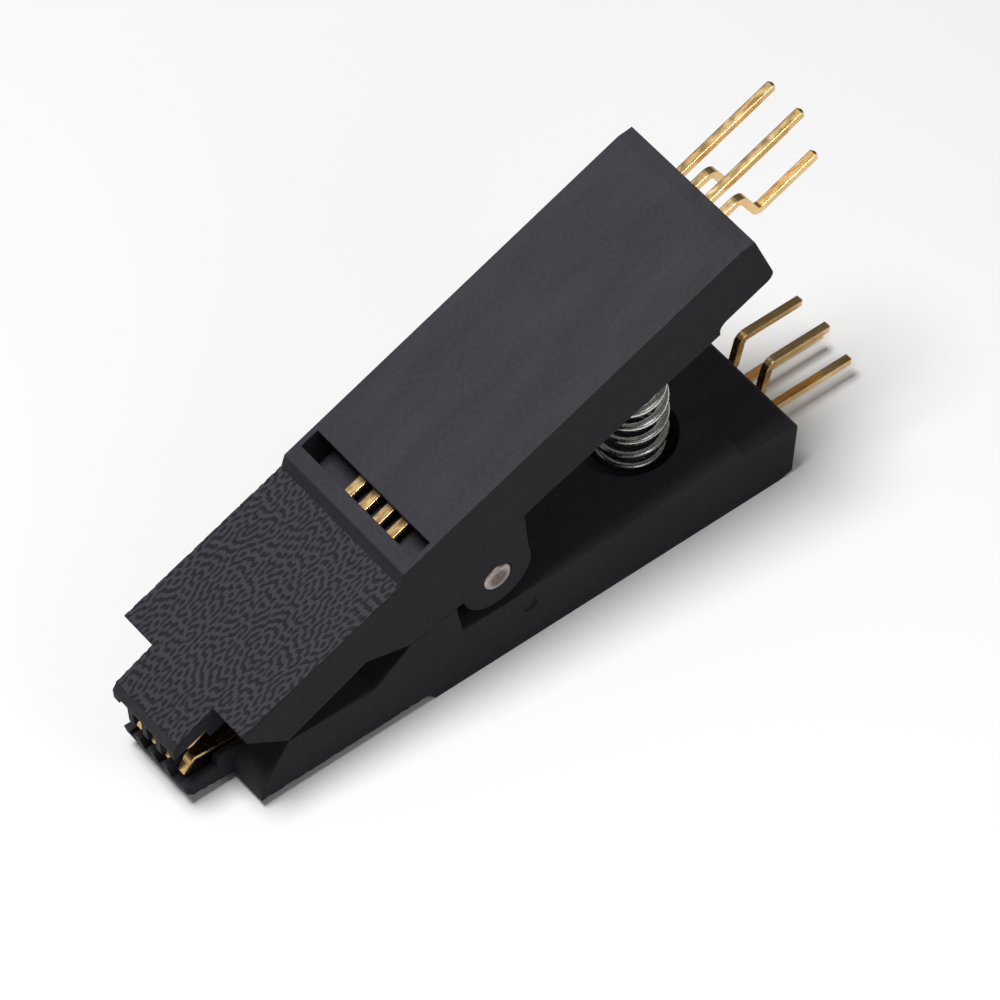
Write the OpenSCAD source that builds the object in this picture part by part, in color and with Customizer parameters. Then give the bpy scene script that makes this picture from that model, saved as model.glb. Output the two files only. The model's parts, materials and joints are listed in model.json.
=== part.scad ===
// Spring test clip for an eight-lead small-outline chip: two identical moulded jaws that
// share one hinge pin like a clothes peg, four formed contacts in each jaw, and a coil
// spring behind the hinge. The lower jaw lies on its flat handle face at z = 0, +X points
// to the header pins, and the upper jaw is the same moulding turned over about the hinge.

/* [Jaw moulding] */
// Width of both jaws, along the hinge pin
jaw_width = 10.9; // [9.5:0.1:14]
// Height of the hinge pin above the outer handle face
hinge_height = 8.4; // [7.6:0.1:10]
// Angle between the two handles when the jaws are closed
closed_angle = 24.6; // [20:0.2:28]
// Length of the handle behind the hinge
handle_rear = 23.4; // [21:0.1:30]
// Length of the smooth band in front of the hinge
band_front = 4.1; // [3.9:0.1:4.6]
// Length of the textured grip, from the hinge to its square front
grip_front = 17.1; // [15.5:0.1:19]
// How far the grip lies below the handle face
grip_drop = 0.78; // [0.3:0.02:1.2]
// Length of the slope between band and grip
grip_step = 0.6; // [0.2:0.1:1]
// Thickness of the handle just behind the hinge
wall_front = 5.1; // [4.6:0.05:5.4]
// Thickness of the handle just in front of the rear lip
wall_rear = 5.75; // [5.3:0.05:6.2]
// Thickness of the thinner rear lip
lip_depth = 5.0; // [4.6:0.05:5.2]
// Length of the rear lip
lip_length = 4.6; // [2:0.1:6]
// Gap between the parting faces of the closed jaws
parting_gap = 0.06; // [0.02:0.01:0.2]

/* [Nose] */
// Width of the narrow nose
nose_width = 5.65; // [5.3:0.05:7]
// Length from the hinge to the front of the nose
nose_front = 20.4; // [19.4:0.1:22]
// Forward lean of the nose's front face
nose_lean = 0.6; // [0:0.05:0.9]
// Depth of the nose's inner face below the handle face
nose_inner = 2.95; // [2.6:0.05:3.2]
// Width of each comb slot in the nose
slot_width = 0.78; // [0.74:0.02:0.9]

/* [Hinge] */
// Diameter of the hinge pin
pin_d = 2; // [1.4:0.1:2.4]
// Running clearance between the pin and the upper jaw
pin_clearance = 0.04; // [0.02:0.01:0.09]
// Radius of the hinge ears
ear_r = 2.5; // [2:0.05:2.8]
// Gap between neighbouring ears
ear_gap = 0.12; // [0.06:0.02:0.3]
// How far the pin's rounded ends stand out of the jaws
pin_proud = 0.12; // [0:0.02:0.3]

/* [Contacts] */
// Spacing of neighbouring leads and contacts
pitch = 1.27; // [1.2:0.01:1.3]
// Number of contacts in each jaw
contact_count = 4; // [2:1:4]
// Width of the contact blade in the nose and window
blade_width = 0.62; // [0.5:0.02:0.7]
// Thickness of the contact blade
blade_thickness = 0.26; // [0.2:0.02:0.36]
// Side of the square header pin
pin_size = 0.5; // [0.4:0.02:0.64]
// Depth of the header pins below the handle face
pin_depth = 1.8; // [1.4:0.05:2.2]
// Spacing of the two rows of header pins
row_spacing = 2.54; // [2:0.01:2.54]
// Free length of a straight header pin behind the jaw
pin_free = 7.6; // [5:0.1:12]
// How much shorter a jogged header pin ends
jog_shortfall = 0.9; // [0:0.1:1.5]

/* [Spring] */
// Outer diameter of the coil
spring_d = 4.7; // [4:0.1:5]
// Diameter of the spring wire
wire_d = 0.6; // [0.4:0.05:0.7]
// Number of turns
spring_turns = 9.5; // [7:0.5:10.5]
// Distance of the spring seats behind the hinge
spring_seat = 14.9; // [13.8:0.1:15.6]
// Depth of the seat's floor below the outer handle face
seat_floor = 3.7; // [3.4:0.1:4.1]

/* [Hidden] */
$fn = 48;

BLACK = [0.06, 0.06, 0.07];
GOLD = [0.83, 0.66, 0.35];
STEEL = [0.72, 0.72, 0.74];

half_width = jaw_width / 2;
half_angle = closed_angle / 2;
overcut = 1;

// jaw details that follow the driving sizes
slope_foot = 0.85;          // square height of the grip's front before it slopes back
parting_front = 15.25;      // where the sloped front meets the parting face
relief_rear = 6.4;          // side relief between the closed jaws
relief_peak = 8.9;
relief_depth = 1.75;
pocket_front = 3;           // front wall of the pocket for the other jaw's ear
pocket_foot = 2.4;
taper_start = 5;            // where the handle starts to thicken
lip_round = 0.6;
lip_bevel = 1;
lip_bevel_rise = 0.3;
window_front = 3.07;        // test window across the contacts
window_length = 1.3;
window_wall = 0.35;
window_depth = 3.1;
shoulder_depth = 2.1;       // outer shoulders of the nose, open beside the outer contacts
shoulder_length = 2.1;
comb_floor = 1.7;
comb_length = 4.6;
nose_round = 0.35;
nose_drop = 0.2;            // extra drop of the grip surface at the nose's front
seat_clearance = 0.2;
web_foot = 0.9;             // spread of the ear's web where it joins the handle
channel_gap = 0.03;
mark_r = 0.5;               // ejector mark on one flank
mark_depth = 0.1;
mark_at = [2.8, 3.4];

// height of the parting face above the outer handle face, at a distance behind the hinge
function parting(u) = hinge_height + u * tan(half_angle) - parting_gap / 2;

// ---------- placing ----------
function unit(v) = v / norm(v);
function upper_x(p) = p[0] * cos(closed_angle) - (hinge_height - p[1]) * sin(closed_angle);
pin_tip = handle_rear + pin_free;
front_reach = min([for (p = nose_outline()) min(p[0], upper_x(p))]);
centre_x = (pin_tip + front_reach) / 2;

// moves a jaw's own frame, hinge at x = 0, to the part's frame
module lower_place() translate([-centre_x, 0, 0]) children();

// turns a jaw over about its length and swings it up by the closed angle
module upper_place()
    lower_place()
    translate([0, 0, hinge_height])
    rotate([0, -closed_angle, 0])
    rotate([180, 0, 0])
    translate([0, 0, -hinge_height])
    children();

// frame of the plane half way between the jaws, origin on the hinge axis
module middle_place()
    lower_place()
    translate([0, 0, hinge_height])
    rotate([0, -half_angle, 0])
    children();

// extrudes a side outline, drawn as [distance behind the hinge, height], from y0 to y1
module slab(y0, y1)
    translate([0, y1, 0])
    rotate([90, 0, 0])
    linear_extrude(y1 - y0)
    children();

// ---------- outlines and paths ----------
function arc(centre, r, from, to, steps = 6) =
    [for (i = [0:steps]) let (a = from + (to - from) * i / steps)
        centre + r * [cos(a), sin(a)]];

// points of a round bend of radius r at b, on the way from a to c
function bend(a, b, c, r, steps = 5) =
    let (d1 = unit(a - b), d2 = unit(c - b), half = acos(d1 * d2) / 2,
         centre = b + unit(d1 + d2) * r / sin(half),
         p1 = unit(b + d1 * r / tan(half) - centre),
         p2 = unit(b + d2 * r / tan(half) - centre))
    [for (i = [0:steps]) centre + r * unit(p1 * (steps - i) + p2 * i)];

// path through corner points, each inner corner rounded by its own radius
function rounded(points, radii) =
    [points[0],
     for (i = [1:len(points) - 2])
        each bend(points[i - 1], points[i], points[i + 1], radii[i - 1]),
     points[len(points) - 1]];

function side_normal(path, i) =
    let (before = path[max(i - 1, 0)], after = path[min(i + 1, len(path) - 1)],
         d = unit(after - before))
    [-d[1], d[0]];

// outline of a strip along a path, with a thickness for each point of it
function ribbon(path, thick) =
    concat([for (i = [0:len(path) - 1]) path[i] + side_normal(path, i) * thick(path[i]) / 2],
           [for (i = [len(path) - 1:-1:0]) path[i] - side_normal(path, i) * thick(path[i]) / 2]);

// ---------- jaw ----------
function jaw_outline() = concat(
    [[-grip_front, grip_drop],
     [-band_front - grip_step, grip_drop],
     [-band_front, 0],
     [handle_rear - lip_bevel, 0],
     [handle_rear, lip_bevel_rise]],
    arc([handle_rear - lip_round, lip_depth - lip_round], lip_round, 0, 90),
    arc([handle_rear - lip_length + wall_rear - lip_depth, wall_rear],
        wall_rear - lip_depth, 270, 180),
    [[taper_start, wall_front],
     [-pocket_foot, wall_front],
     [-pocket_front, parting(-pocket_front)],
     [-relief_rear, parting(-relief_rear)],
     [-relief_peak, parting(-relief_peak) - relief_depth],
     [-parting_front, parting(-parting_front)],
     [-grip_front, grip_drop + slope_foot]]);

function nose_outline() = concat(
    [[-parting_front, grip_drop],
     [-grip_front, grip_drop],
     [-nose_front + nose_round, grip_drop + nose_drop]],
    [[-nose_front - nose_round / 4, grip_drop + nose_drop + nose_round]],
    [[-nose_front - nose_lean, nose_inner],
     [-parting_front, nose_inner]]);

// side outline of a hinge ear: lobe round the pin, and the web that carries it
module ear_outline() {
    lobe_start = [-ear_r * cos(half_angle), hinge_height - ear_r * sin(half_angle)];
    root = wall_front / 2;
    translate([0, hinge_height]) circle(ear_r);
    polygon([
        [-pocket_front - pocket_foot, root],
        [-pocket_front - pocket_foot, parting(-pocket_front - pocket_foot)],
        [lobe_start[0], parting(lobe_start[0])],
        [0, hinge_height],
        [ear_r, hinge_height],
        [ear_r + web_foot, wall_front],
        [ear_r + web_foot, root]]);
}

module comb_slots() {
    for (i = [1:contact_count])
        slab(contact_y(i) - slot_width / 2, contact_y(i) + slot_width / 2)
            polygon([
                [-nose_front - nose_lean - overcut, comb_floor],
                [-nose_front + comb_length, comb_floor],
                [-nose_front + comb_length, nose_inner + overcut],
                [-nose_front - nose_lean - overcut, nose_inner + overcut]]);
    for (side = [-1, 1])
        translate([-nose_front - nose_lean - overcut,
                   side > 0 ? contact_y(contact_count) : -half_width,
                   shoulder_depth])
            cube([nose_lean + overcut + shoulder_length,
                  half_width - contact_y(contact_count), nose_inner]);
}

// bore_r is the radius of the hinge bore, which differs between the two jaws
module jaw(bore_r) {
    color(BLACK)
    difference() {
        union() {
            slab(-half_width, half_width) polygon(jaw_outline());
            slab(-nose_width / 2, nose_width / 2) polygon(nose_outline());
            slab(half_width / 2 + ear_gap / 2, half_width) ear_outline();
            slab(-half_width / 2 + ear_gap / 2, -ear_gap / 2) ear_outline();
        }
        // hinge bore
        translate([0, 0, hinge_height]) rotate([90, 0, 0])
            cylinder(r = bore_r, h = jaw_width + 2 * overcut, center = true);
        // spring seat
        translate([spring_seat, 0, seat_floor])
            cylinder(d = spring_d + 2 * seat_clearance, h = wall_rear);
        // test window
        translate([-window_front, -half_width + window_wall, -overcut])
            cube([window_length, jaw_width - 2 * window_wall, window_depth + overcut]);
        // channels that hold the contacts
        for (i = [1:contact_count])
            slab(contact_y(i) - blade_width / 2 - channel_gap,
                 contact_y(i) + blade_width / 2 + channel_gap)
                polygon(ribbon(straight_path(), contact_thickness));
        comb_slots();
        // ejector mark
        translate([mark_at[0], -half_width + mark_depth, mark_at[1]]) rotate([90, 0, 0])
            cylinder(r = mark_r, h = overcut);
    }
}

module lower_jaw() lower_place() jaw(pin_d / 2);
module upper_jaw() upper_place() jaw(pin_d / 2 + pin_clearance);

// ---------- hinge pin ----------
module hinge_pin() {
    r = pin_d / 2;
    end = half_width + pin_proud;
    round_r = r / 4;
    dish = r / 10;
    color(STEEL)
    lower_place()
    translate([0, 0, hinge_height]) rotate([90, 0, 0])
        rotate_extrude()
            polygon(concat(
                [[0, -end + dish], [r / 2, -end]],
                arc([r - round_r, -end + round_r], round_r, 270, 360),
                arc([r - round_r, end - round_r], round_r, 0, 90),
                [[r / 2, end], [0, end - dish]]));
}

// ---------- contacts ----------
blade_crown = [-nose_front + 0.85, 3.4];
blade_tip = blade_crown + [-0.6, -1.05];
blade_heel = [-parting_front - 1, 2.95];
window_blade = 2.2;         // depth of the blade's middle in the window
blade_end = 1.5;            // where the blade starts to thicken into the pin
pin_start = 4.5;
jog_start = 1.45;
jog_run = 0.4;
pin_point = 0.16;           // bevel on the tip of each pin

function contact_y(i) = (i - (contact_count + 1) / 2) * pitch;

contact_thickness = function (p)
    p[0] < blade_end + 0.01 ? blade_thickness : pin_size;

function front_path() =
    [blade_tip, blade_crown, blade_heel,
     [-window_front - 1.6, window_blade], [blade_end, window_blade]];

function straight_path() = rounded(concat(front_path(),
    [[pin_start, pin_depth], [pin_tip, pin_depth]]), [0.3, 1.5, 2, 1.5, 1.5]);

function jogged_path() = rounded(concat(front_path(),
    [[pin_start, pin_depth],
     [handle_rear + jog_start, pin_depth],
     [handle_rear + jog_start + jog_run, pin_depth + row_spacing],
     [pin_tip - jog_shortfall, pin_depth + row_spacing]]), [0.3, 1.5, 2, 1.5, 1.5, 0.5, 0.5]);

// top view of one contact: wide blade, neck, and square pin with a bevelled tip
module contact_plan(tip) {
    neck = (blade_end + pin_start) / 2;
    half_pin = pin_size / 2;
    half_blade = blade_width / 2;
    outline = [[neck, half_blade],
               [neck + half_pin, half_pin],
               [tip - pin_point, half_pin],
               [tip, half_pin - pin_point]];
    polygon(concat(
        [[-nose_front - overcut, -half_blade], [-nose_front - overcut, half_blade]],
        outline,
        [for (i = [len(outline) - 1:-1:0]) [outline[i][0], -outline[i][1]]]));
}

module contact(i) {
    jogged = i % 2 == 0;
    path = jogged ? jogged_path() : straight_path();
    tip = path[len(path) - 1][0];
    depth = path[len(path) - 1][1];
    color(GOLD)
    translate([0, contact_y(i), 0])
    difference() {
        intersection() {
            slab(-blade_width, blade_width) polygon(ribbon(path, contact_thickness));
            linear_extrude(2 * hinge_height, center = true) contact_plan(tip);
        }
        // bevel of the pin's tip, seen from the side
        for (side = [-1, 1])
            slab(-blade_width, blade_width)
                polygon([[tip + overcut, depth + side * (pin_size / 2 - pin_point - overcut)],
                         [tip - pin_point, depth + side * pin_size / 2],
                         [tip - pin_point, depth + side * (pin_size / 2 + overcut)],
                         [tip + overcut, depth + side * (pin_size / 2 + overcut)]]);
    }
}

// ---------- spring ----------
spring_sides = 8;
rings_per_turn = 16;

// seat of the lower jaw in the middle frame, and the bow of the spring's axis between
// the two seats, which leaves each seat square to its floor
seat_local = [spring_seat, seat_floor - hinge_height];
seat_x = seat_local[0] * cos(half_angle) + seat_local[1] * sin(half_angle);
seat_z = -seat_local[0] * sin(half_angle) + seat_local[1] * cos(half_angle);
bow_r = -seat_z / sin(half_angle);
bow_x = seat_x - bow_r * cos(half_angle);
spring_length = bow_r * closed_angle * PI / 180;

// height of the wire along the axis after some turns: closed end turns, even pitch between
function wire_height(turn) =
    let (open_turns = spring_turns - 2,
         open_pitch = (spring_length - 3 * wire_d) / open_turns)
    turn < 1 ? wire_d * (turn + 0.5)
    : turn > spring_turns - 1 ? spring_length - wire_d * (spring_turns - turn + 0.5)
    : wire_d * 1.5 + (turn - 1) * open_pitch;

// point of the spring's tube, at a turn and an angle round the wire
function wire_point(turn, around) =
    let (a = -half_angle + wire_height(turn) / bow_r * 180 / PI,
         coil_r = (spring_d - wire_d) / 2 + wire_d / 2 * cos(around),
         along = wire_d / 2 * sin(around),
         radial = [cos(a), 0, sin(a)],
         axial = [-sin(a), 0, cos(a)])
    [bow_x, 0, 0] + radial * (bow_r + coil_r * cos(turn * 360))
        + [0, coil_r * sin(turn * 360), 0] + axial * along;

module spring() {
    rings = spring_turns * rings_per_turn;
    points = [for (k = [0:rings], j = [0:spring_sides - 1])
        wire_point(k / rings_per_turn, j * 360 / spring_sides)];
    walls = [for (k = [0:rings - 1], j = [0:spring_sides - 1])
        let (a = k * spring_sides + j,
             b = k * spring_sides + (j + 1) % spring_sides)
        [a, a + spring_sides, b + spring_sides, b]];
    first_end = [for (j = [0:spring_sides - 1]) j];
    last_end = [for (j = [spring_sides - 1:-1:0]) rings * spring_sides + j];
    color(STEEL)
    middle_place()
    polyhedron(points, concat(walls, [first_end, last_end]));
}

lower_jaw();
upper_jaw();
hinge_pin();
spring();
for (i = [1:contact_count]) {
    lower_place() contact(i);
    upper_place() contact(i);
}
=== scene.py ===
"""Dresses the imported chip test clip: grained black plastic, gold contacts, bright spring."""
import json
import math

import bpy
import numpy as np
from mathutils import Euler, Matrix, Vector


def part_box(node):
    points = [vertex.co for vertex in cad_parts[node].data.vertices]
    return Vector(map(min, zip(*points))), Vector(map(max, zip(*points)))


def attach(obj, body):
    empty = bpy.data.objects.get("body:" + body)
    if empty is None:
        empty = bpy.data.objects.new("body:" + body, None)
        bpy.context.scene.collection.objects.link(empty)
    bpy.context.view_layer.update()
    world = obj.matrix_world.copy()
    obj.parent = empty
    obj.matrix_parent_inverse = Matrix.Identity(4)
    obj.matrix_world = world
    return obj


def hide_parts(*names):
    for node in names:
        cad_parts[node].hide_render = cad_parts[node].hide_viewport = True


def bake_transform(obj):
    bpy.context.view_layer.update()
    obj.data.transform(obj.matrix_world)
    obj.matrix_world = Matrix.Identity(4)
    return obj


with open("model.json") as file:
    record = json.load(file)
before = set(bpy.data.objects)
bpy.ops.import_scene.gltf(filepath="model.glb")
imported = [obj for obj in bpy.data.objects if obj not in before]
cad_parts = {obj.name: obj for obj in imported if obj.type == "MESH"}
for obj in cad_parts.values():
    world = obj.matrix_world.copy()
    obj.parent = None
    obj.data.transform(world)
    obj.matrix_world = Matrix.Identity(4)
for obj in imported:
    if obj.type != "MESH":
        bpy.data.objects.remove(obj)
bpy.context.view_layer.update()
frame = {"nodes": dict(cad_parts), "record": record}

MM = 0.001

# ---------- sizes of the clip, in millimetres ----------
# A jaw's own frame has u to the rear from the hinge, y along the hinge pin, and z from the
# outer handle face inward. The lower jaw stands in that frame as the clip lies.
pin_low, pin_high = (Vector(corner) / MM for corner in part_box("hinge_pin"))
hinge = (pin_low + pin_high) / 2
upper_axis = next(m["axis"] for m in frame["record"]["mounts"] if m["name"] == "upper_header")
closed_angle = math.atan2(upper_axis[2], upper_axis[0])
half_angle = closed_angle / 2
jaw_low, jaw_high = (Vector(corner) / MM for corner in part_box("lower_jaw"))
jaw_width = jaw_high.y - jaw_low.y

grip_front = 17.1
grip_rear = 4.7
grip_drop = 0.78
nose_front = 20.4
nose_width = 5.65
nose_drop = 0.2
nose_round = 0.35

spring_d = 4.7
wire_d = 0.52
spring_turns = 11.5
spring_seat = 14.9
seat_floor = 3.7
room_centre = 14.3          # round hollow about the spring in each jaw's inner face
room_r = 3.35
room_floor = 3.95

lower_place = Matrix.Translation((hinge.x, 0, 0))
upper_place = (
    Matrix.Translation((hinge.x, 0, hinge.z))
    @ Matrix.Rotation(-closed_angle, 4, "Y")
    @ Matrix.Rotation(math.pi, 4, "X")
    @ Matrix.Translation((0, 0, -hinge.z))
)
jaw_places = {"lower": lower_place, "upper": upper_place}


# ---------- camera ----------
CAMERA_TURN = (46.95, 52.07, 4.56)      # heading, downward pitch and roll, in degrees
CAMERA_DISTANCE = 400
AIM_FROM_HINGE = 0.7
AIM_Y = -4.4
AIM_HEIGHT = 14.0


def add_camera():
    heading, pitch, roll = (math.radians(angle) for angle in CAMERA_TURN)
    aim = Vector((hinge.x + AIM_FROM_HINGE, AIM_Y, AIM_HEIGHT))
    forward = Vector((math.cos(heading) * math.cos(pitch),
                      math.sin(heading) * math.cos(pitch), -math.sin(pitch)))
    level = forward.cross(Vector((0, 0, 1))).normalized()
    rise = level.cross(forward)
    right = level * math.cos(roll) + rise * math.sin(roll)
    up = rise * math.cos(roll) - level * math.sin(roll)
    data = bpy.data.cameras.new("camera")
    data.sensor_width = 36
    data.lens = 252
    data.clip_start = 0.01
    data.clip_end = 10
    camera = bpy.data.objects.new("camera", data)
    bpy.context.scene.collection.objects.link(camera)
    turn = Matrix((right, up, -forward)).transposed().to_4x4()
    camera.matrix_world = Matrix.Translation((aim - forward * CAMERA_DISTANCE) * MM) @ turn
    bpy.context.scene.camera = camera


# ---------- helpers for materials ----------
class Shader:
    """Short calls for building one material's nodes."""

    def __init__(self, name):
        self.material = bpy.data.materials.new(name)
        self.material.use_nodes = True
        self.nodes = self.material.node_tree.nodes
        self.links = self.material.node_tree.links
        self.surface = self.nodes["Principled BSDF"]

    def add(self, kind, inputs=None, **settings):
        node = self.nodes.new(kind)
        for key, value in settings.items():
            setattr(node, key, value)
        for key, value in (inputs or {}).items():
            self.put(node.inputs[key], value)
        return node

    def put(self, socket, value):
        if isinstance(value, bpy.types.NodeSocket):
            self.links.new(value, socket)
        else:
            socket.default_value = value

    def set(self, **values):
        for key, value in values.items():
            self.put(self.surface.inputs[key.replace("_", " ")], value)

    def math(self, operation, a, b=0.0):
        node = self.add("ShaderNodeMath", operation=operation)
        self.put(node.inputs[0], a)
        self.put(node.inputs[1], b)
        return node.outputs[0]

    def mix(self, factor, a, b):
        node = self.add("ShaderNodeMix", data_type="RGBA")
        self.put(node.inputs[0], factor)
        self.put(node.inputs[6], a)
        self.put(node.inputs[7], b)
        return node.outputs[2]

    def noise(self, vector, scale, detail=2.0, roughness=0.5):
        node = self.add("ShaderNodeTexNoise",
                        {"Vector": vector, "Scale": scale, "Detail": detail,
                         "Roughness": roughness})
        return node.outputs["Fac"]

    def spread(self, value, low, high, to_low=0.0, to_high=1.0):
        node = self.add("ShaderNodeMapRange",
                        {"Value": value, "From Min": low, "From Max": high,
                         "To Min": to_low, "To Max": to_high})
        return node.outputs["Result"]

    def place(self, matrix=None, stretch=(1, 1, 1)):
        """Object coordinates in millimetres, in the frame that matrix leads from."""
        source = self.add("ShaderNodeTexCoord").outputs["Object"]
        back = (matrix or Matrix.Identity(4)).inverted()
        turned = self.add("ShaderNodeMapping", {
            "Vector": source, "Scale": (1 / MM,) * 3,
            "Rotation": Euler(back.to_euler("XYZ")), "Location": back.translation})
        return self.add("ShaderNodeMapping", {
            "Vector": turned.outputs[0], "Scale": stretch}).outputs[0]

    def bump(self, layers, edge=0.0):
        """Stacks bump layers of (height, distance in millimetres) on softly bevelled edges."""
        normal = None
        if edge:
            normal = self.add("ShaderNodeBevel", {"Radius": edge * MM}, samples=6).outputs[0]
        for height, distance in layers:
            inputs = {"Height": height, "Distance": distance * MM, "Strength": 1.0}
            if normal:
                inputs["Normal"] = normal
            normal = self.add("ShaderNodeBump", inputs).outputs[0]
        self.put(self.surface.inputs["Normal"], normal)


def shade(obj, material):
    obj.data.materials.clear()
    obj.data.materials.append(material)


# ---------- materials ----------
PLASTIC = (0.041, 0.040, 0.047, 1)
PLASTIC_PALE = (0.052, 0.051, 0.060, 1)
# Painted shade: darker colour given to the grip's grooves, on top of the shading of the real relief.
PLASTIC_GROOVE_SHADE = (0.022, 0.022, 0.027, 1)
PLASTIC_GLOSS = 0.06


def jaw_plastic(name, matrix):
    """Black moulded plastic with a spark-eroded grain of two sizes and faint flow marks."""
    s = Shader(name)
    at = s.place(matrix)
    mottle = s.noise(at, 3.2, 3.0, 0.6)
    speck = s.noise(at, 9.0, 2.0, 0.6)
    flow = s.noise(s.place(matrix, (0.12, 0.5, 0.5)), 1.0, 2.0)
    tone = s.math("ADD", s.math("MULTIPLY", mottle, 0.5), s.math("MULTIPLY", flow, 0.5))
    s.set(Base_Color=s.mix(s.spread(tone, 0.38, 0.62), PLASTIC, PLASTIC_PALE),
          Roughness=s.spread(speck, 0.3, 0.7, 0.5, 0.66),
          Specular_IOR_Level=PLASTIC_GLOSS)
    s.bump([(mottle, 0.02), (speck, 0.010)], edge=0.12)
    return s.material


def grip_plastic():
    """The same plastic on the coarse grain of the grips, with painted shade darkening it down in the
    grooves.
    """
    s = Shader("grip_plastic")
    at = s.place()
    speck = s.noise(at, 9.0, 2.0, 0.6)
    relief = s.add("ShaderNodeAttribute", attribute_name="relief").outputs["Fac"]
    # Painted shade: the relief attribute colours the grooves darker than the ridges.
    s.set(Base_Color=s.mix(relief, PLASTIC_GROOVE_SHADE, PLASTIC_PALE),
          Roughness=s.spread(speck, 0.3, 0.7, 0.45, 0.6),
          Specular_IOR_Level=PLASTIC_GLOSS)
    s.bump([(speck, 0.012)])
    return s.material


def gold_plate():
    """Gold over formed strip: drawn along its length, with slight colour drift."""
    s = Shader("gold_plate")
    drawn = s.noise(s.place(None, (0.3, 2.2, 2.2)), 1.4, 2.0)
    drift = s.noise(s.place(), 0.8, 2.0)
    s.set(Base_Color=s.mix(s.spread(drift, 0.35, 0.65), (0.66, 0.42, 0.17, 1),
                           (0.80, 0.56, 0.26, 1)),
          Metallic=1.0,
          Roughness=s.spread(drawn, 0.3, 0.7, 0.20, 0.32))
    s.bump([(drawn, 0.006)], edge=0.06)
    return s.material


def spring_wire():
    """Bright plated spring wire with fine drawing marks and small dull spots."""
    s = Shader("spring_wire")
    marks = s.noise(s.place(), 6.0, 3.0, 0.7)
    dull = s.noise(s.place(), 1.5, 2.0)
    s.set(Base_Color=s.mix(s.spread(dull, 0.4, 0.6), (0.56, 0.55, 0.53, 1),
                           (0.76, 0.75, 0.72, 1)),
          Metallic=1.0,
          Roughness=s.spread(marks, 0.3, 0.7, 0.18, 0.34))
    s.bump([(marks, 0.006)])
    return s.material


def pin_steel():
    """Drawn steel of the hinge pin: cropped ends, dull, dark brown in the middle and lighter towards
    the rim.
    """
    s = Shader("pin_steel")
    at = s.place(Matrix.Translation(hinge), (1, 0, 1))
    crimp = s.noise(s.place(None, (1, 1, 3)), 2.2, 3.0, 0.6)
    radius = s.add("ShaderNodeVectorMath", {0: at}, operation="LENGTH").outputs["Value"]
    # Colour runs from dark brown on the pin's axis to lighter grey-brown at the rim and barrel.
    rim_blend = s.math("ADD", radius, s.math("MULTIPLY", crimp, 0.5))
    s.set(Base_Color=s.mix(s.spread(rim_blend, 0.75, 1.2), (0.13, 0.10, 0.09, 1),
                           (0.46, 0.41, 0.37, 1)),
          Metallic=1.0,
          Roughness=s.spread(crimp, 0.3, 0.7, 0.28, 0.45))
    s.bump([(crimp, 0.06)], edge=0.06)
    return s.material


# ---------- grip grain ----------
GRAIN_SPACING = (0.66, 0.29)    # of the ridges along the clip and across it
GRAIN_BAND = 0.28               # how much the spacing varies
GRAIN_ROUNDS = 2
GRAIN_GAIN = 1.6
GROOVE_LEVEL = -0.95            # pattern value at the groove's floor
GROOVE_RISE = 0.85              # and from there to the ridge's top


def grain_field(rows, columns, cell, spacing_u, spacing_y, seed):
    """Worm-like pattern from -1 to 1: random noise kept to one band of spacings."""
    rng = np.random.default_rng(seed)
    field = rng.standard_normal((rows, columns))
    fu = np.fft.fftfreq(rows, cell)[:, None] * spacing_u
    fy = np.fft.fftfreq(columns, cell)[None, :] * spacing_y
    band = np.exp(-(((np.hypot(fu, fy) - 1) / GRAIN_BAND) ** 2))
    for _ in range(GRAIN_ROUNDS):
        field = np.real(np.fft.ifft2(np.fft.fft2(field) * band))
        field = np.tanh(GRAIN_GAIN * field / field.std())
    return field


def grid_run(start, end):
    """Grid places on the straight way from one corner to another, without the last."""
    steps = max(abs(end[0] - start[0]), abs(end[1] - start[1]))
    return [(start[0] + (end[0] - start[0]) * k // steps,
             start[1] + (end[1] - start[1]) * k // steps) for k in range(steps)]


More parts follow.
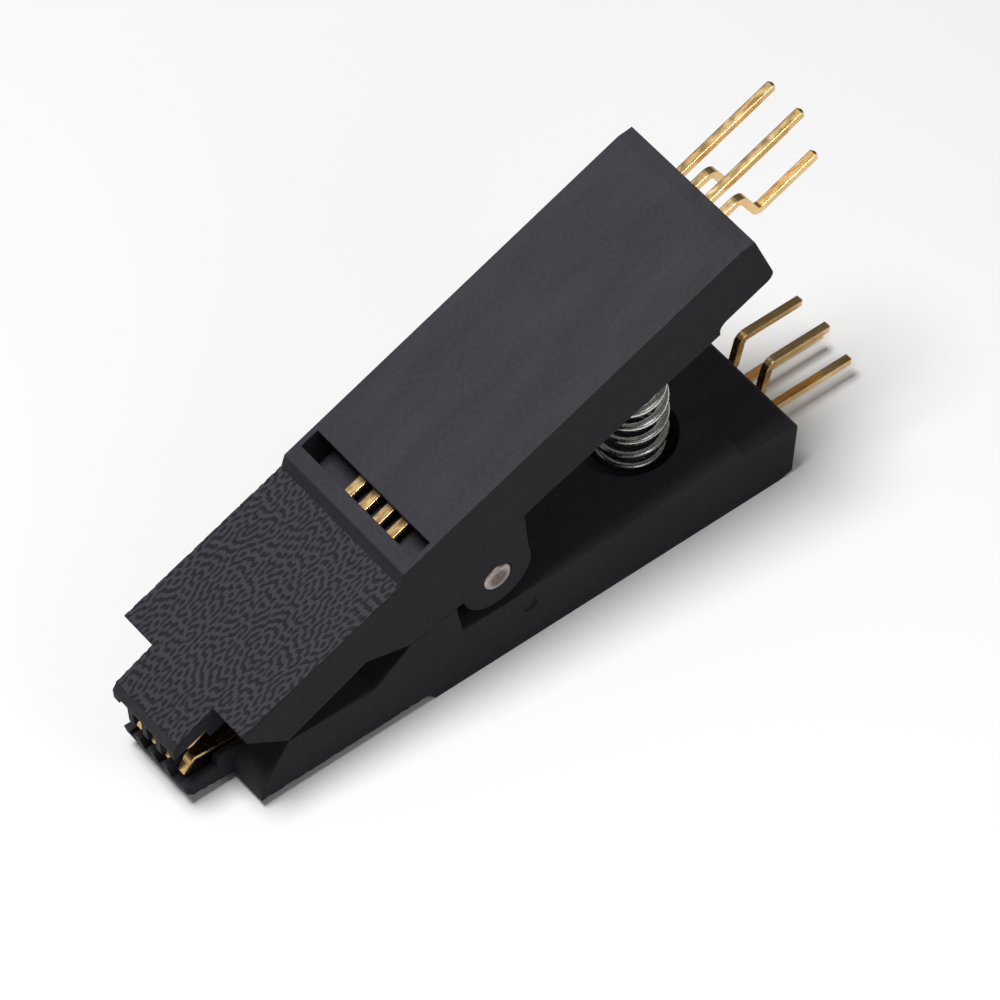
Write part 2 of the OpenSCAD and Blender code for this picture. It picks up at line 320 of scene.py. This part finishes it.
def grain_skin(cell=0.045, base=0.012, height=0.07, root=0.05):
    """Closed skin of grain over the grip and the nose: points, faces, relief, top count."""
    half, nose = jaw_width / 2, nose_width / 2
    nose_rows = round((nose_front - nose_round - grip_front) / cell)
    grip_rows = round((grip_front - grip_rear) / cell)
    side_columns = round((half - nose) / cell)
    nose_columns = round(2 * nose / cell)
    us = np.concatenate([np.linspace(-nose_front + nose_round, -grip_front, nose_rows + 1),
                         np.linspace(-grip_front, -grip_rear, grip_rows + 1)[1:]])
    ys = np.concatenate([np.linspace(-half, -nose, side_columns + 1),
                         np.linspace(-nose, nose, nose_columns + 1)[1:],
                         np.linspace(nose, half, side_columns + 1)[1:]])
    field = grain_field(len(us), len(ys), cell, *GRAIN_SPACING, seed=7)
    relief = np.clip((field - GROOVE_LEVEL) / GROOVE_RISE, 0, 1)
    relief = relief * relief * (3 - 2 * relief)
    last_row, last_column = len(us) - 1, len(ys) - 1
    left, right = side_columns, side_columns + nose_columns
    number = {}
    for i in range(len(us)):
        for j in range(len(ys)):
            if i >= nose_rows or left <= j <= right:
                number[i, j] = len(number)
    top = [(us[i], ys[j], grip_surface(us[i]) - base - height * relief[i, j])
           for i, j in number]
    faces = [(number[i, j], number[i, j + 1], number[i + 1, j + 1], number[i + 1, j])
             for i in range(last_row) for j in range(last_column)
             if i >= nose_rows or left <= j < right]
    top_count = len(faces)
    corners = [(0, left), (nose_rows, left), (nose_rows, 0), (last_row, 0),
               (last_row, last_column), (nose_rows, last_column), (nose_rows, right),
               (0, right)]
    runs = [grid_run(corner, corners[(k + 1) % len(corners)])
            for k, corner in enumerate(corners)]
    border = [place for run in runs for place in run]
    under = [(us[i], ys[j], grip_surface(us[i]) + root) for i, j in border]
    first, count = len(top), len(border)
    faces += [(number[border[k]], number[border[(k + 1) % count]],
               first + (k + 1) % count, first + k) for k in range(count)]
    grip_start, nose_start = len(runs[0]), sum(len(run) for run in runs[:6])
    faces.append(tuple(first + k for k in range(nose_start, grip_start - 1, -1)))
    nose_ring = list(range(nose_start, count)) + list(range(grip_start + 1))
    faces.append(tuple(first + k for k in reversed(nose_ring)))
    reliefs = [relief[i, j] for i, j in number] + [0.5] * count
    return top + under, faces, reliefs, top_count


def grip_surface(u):
    """Height of the grip's outer face: level on the grip, dropping a little on the nose."""
    run = max(0, -u - grip_front) / (nose_front - nose_round - grip_front)
    return grip_drop + nose_drop * run


def add_grip_grain(side, material):
    points, faces, relief, top_count = grain_skin()
    mesh = bpy.data.meshes.new(f"{side}_grip_grain")
    place = jaw_places[side]
    mesh.from_pydata([place @ Vector(p) * MM for p in points], [], faces)
    attribute = mesh.attributes.new("relief", "FLOAT", "POINT")
    attribute.data.foreach_set("value", np.array(relief, np.float32))
    for polygon in mesh.polygons:
        polygon.use_smooth = polygon.index < top_count
    mesh.validate()
    mesh.update()
    obj = bpy.data.objects.new(f"{side}_grip_grain", mesh)
    bpy.context.scene.collection.objects.link(obj)
    shade(obj, material)
    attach(obj, side)


# ---------- jaws with room for the spring ----------
def round_cutter(centre, radius, low, high, place, sides=96):
    """Cylinder across a jaw's thickness, used to hollow the inner face."""
    turns = [2 * math.pi * k / sides for k in range(sides)]
    points = [(centre + radius * math.cos(a), radius * math.sin(a), z)
              for z in (low, high) for a in turns]
    walls = [(k, (k + 1) % sides, sides + (k + 1) % sides, sides + k) for k in range(sides)]
    ends = [tuple(reversed(range(sides))), tuple(range(sides, 2 * sides))]
    mesh = bpy.data.meshes.new("cutter")
    mesh.from_pydata([place @ Vector(p) * MM for p in points], [], walls + ends)
    obj = bpy.data.objects.new("cutter", mesh)
    bpy.context.scene.collection.objects.link(obj)
    return obj


def add_jaw(side, material):
    """The jaw's own solid, with the inner face hollowed round the spring's end."""
    node = frame["nodes"][f"{side}_jaw"]
    jaw = node.copy()
    jaw.data = node.data.copy()
    jaw.name = jaw.data.name = f"{side}_jaw_moulding"
    bpy.context.scene.collection.objects.link(jaw)
    cutter = round_cutter(room_centre, room_r, room_floor, hinge.z, jaw_places[side])
    cut = jaw.modifiers.new("room", "BOOLEAN")
    cut.operation = "DIFFERENCE"
    cut.solver = "EXACT"
    cut.object = cutter
    bpy.context.view_layer.update()
    hollowed = bpy.data.meshes.new_from_object(
        jaw.evaluated_get(bpy.context.evaluated_depsgraph_get()))
    jaw.modifiers.clear()
    jaw.data = hollowed
    bpy.data.objects.remove(cutter)
    shade(jaw, material)
    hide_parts(f"{side}_jaw")
    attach(jaw, side)


# ---------- spring ----------
def add_spring(material, sides=14, rings_per_turn=44):
    """Coil between the two seats, its axis bowed so that it leaves each seat squarely."""
    seat_u = spring_seat
    seat_w = seat_floor - hinge.z
    seat_x = seat_u * math.cos(half_angle) + seat_w * math.sin(half_angle)
    seat_z = -seat_u * math.sin(half_angle) + seat_w * math.cos(half_angle)
    bow_r = -seat_z / math.sin(half_angle)
    bow_x = seat_x - bow_r * math.cos(half_angle)
    length = bow_r * closed_angle
    open_pitch = (length - 3 * wire_d) / (spring_turns - 2)

    def height(turn):
        if turn < 1:
            return wire_d * (turn + 0.5)
        if turn > spring_turns - 1:
            return length - wire_d * (spring_turns - turn + 0.5)
        return wire_d * 1.5 + (turn - 1) * open_pitch

    middle = Matrix.Translation(hinge) @ Matrix.Rotation(-half_angle, 4, "Y")
    rings = round(spring_turns * rings_per_turn)
    points = []
    for k in range(rings + 1):
        turn = k / rings_per_turn
        a = -half_angle + height(turn) / bow_r
        radial = Vector((math.cos(a), 0, math.sin(a)))
        axial = Vector((-math.sin(a), 0, math.cos(a)))
        across = Vector((0, 1, 0))
        phase = turn * 2 * math.pi
        outward = radial * math.cos(phase) + across * math.sin(phase)
        coil_r = (spring_d - wire_d) / 2
        centre = Vector((bow_x, 0, 0)) + radial * bow_r + outward * coil_r
        for j in range(sides):
            b = 2 * math.pi * j / sides
            ring = outward * math.cos(b) + axial * math.sin(b)
            points.append(middle @ (centre + ring * wire_d / 2) * MM)
    faces = [(k * sides + j, k * sides + (j + 1) % sides,
              (k + 1) * sides + (j + 1) % sides, (k + 1) * sides + j)
             for k in range(rings) for j in range(sides)]
    faces.append(tuple(reversed(range(sides))))
    faces.append(tuple(rings * sides + j for j in range(sides)))
    mesh = bpy.data.meshes.new("spring_coil")
    mesh.from_pydata(points, [], faces)
    mesh.validate()
    mesh.update()
    for polygon in mesh.polygons:
        polygon.use_smooth = len(polygon.vertices) == 4
    obj = bpy.data.objects.new("spring_coil", mesh)
    bpy.context.scene.collection.objects.link(obj)
    shade(obj, material)
    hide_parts("spring")
    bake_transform(obj)


# ---------- studio ----------
FLOOR_HALF = 3.0                # metres
FLOOR_BOUNCE = (0.05, 0.05, 0.05, 1)
WORLD_STRENGTH = 0.13


def add_floor():
    mesh = bpy.data.meshes.new("floor")
    corners = [(-1, -1), (1, -1), (1, 1), (-1, 1)]
    mesh.from_pydata([(x * FLOOR_HALF, y * FLOOR_HALF, 0) for x, y in corners],
                     [], [(0, 1, 2, 3)])
    floor = bpy.data.objects.new("floor", mesh)
    bpy.context.scene.collection.objects.link(floor)
    s = Shader("floor_white")
    seen = s.add("ShaderNodeLightPath")
    bright = s.math("MAXIMUM", seen.outputs["Is Camera Ray"], seen.outputs["Is Glossy Ray"])
    s.set(Base_Color=s.mix(bright, FLOOR_BOUNCE, (1, 1, 1, 1)), Roughness=1.0,
          Specular_IOR_Level=0.0)
    shade(floor, s.material)


def add_lamp(name, direction, size, power, distance=0.5):
    data = bpy.data.lights.new(name, "AREA")
    data.shape = "DISK"
    data.size = size
    data.energy = power
    lamp = bpy.data.objects.new(name, data)
    lamp.visible_camera = False
    bpy.context.scene.collection.objects.link(lamp)
    place = Vector(direction).normalized() * distance
    lamp.matrix_world = Matrix.Translation(place) @ place.to_track_quat("Z", "Y").to_matrix().to_4x4()


def light_studio():
    world = bpy.data.worlds.new("studio")
    world.use_nodes = True
    nodes, links = world.node_tree.nodes, world.node_tree.links
    background = nodes["Background"]
    seen = nodes.new("ShaderNodeLightPath")
    strength = nodes.new("ShaderNodeMapRange")
    strength.inputs["To Min"].default_value = WORLD_STRENGTH
    strength.inputs["To Max"].default_value = 1.0
    links.new(seen.outputs["Is Camera Ray"], strength.inputs["Value"])
    links.new(strength.outputs["Result"], background.inputs["Strength"])
    background.inputs["Color"].default_value = (1, 1, 1, 1)
    bpy.context.scene.world = world
    add_lamp("key", (-0.3, 0.06, 0.95), 0.16, 2.15)
    add_lamp("side", (0, -0.7, 0.7), 0.05, 0.009, distance=0.1)
    bpy.context.scene.view_settings.view_transform = "Standard"


# ---------- dress the clip ----------
add_camera()
light_studio()
add_floor()

grip_material = grip_plastic()
for jaw_side, jaw_place in jaw_places.items():
    add_jaw(jaw_side, jaw_plastic(f"{jaw_side}_plastic", jaw_place))
    add_grip_grain(jaw_side, grip_material)

gold = gold_plate()
for node_name, node in frame["nodes"].items():
    if "_contact_" in node_name:
        shade(node, gold)
shade(frame["nodes"]["hinge_pin"], pin_steel())
add_spring(spring_wire())
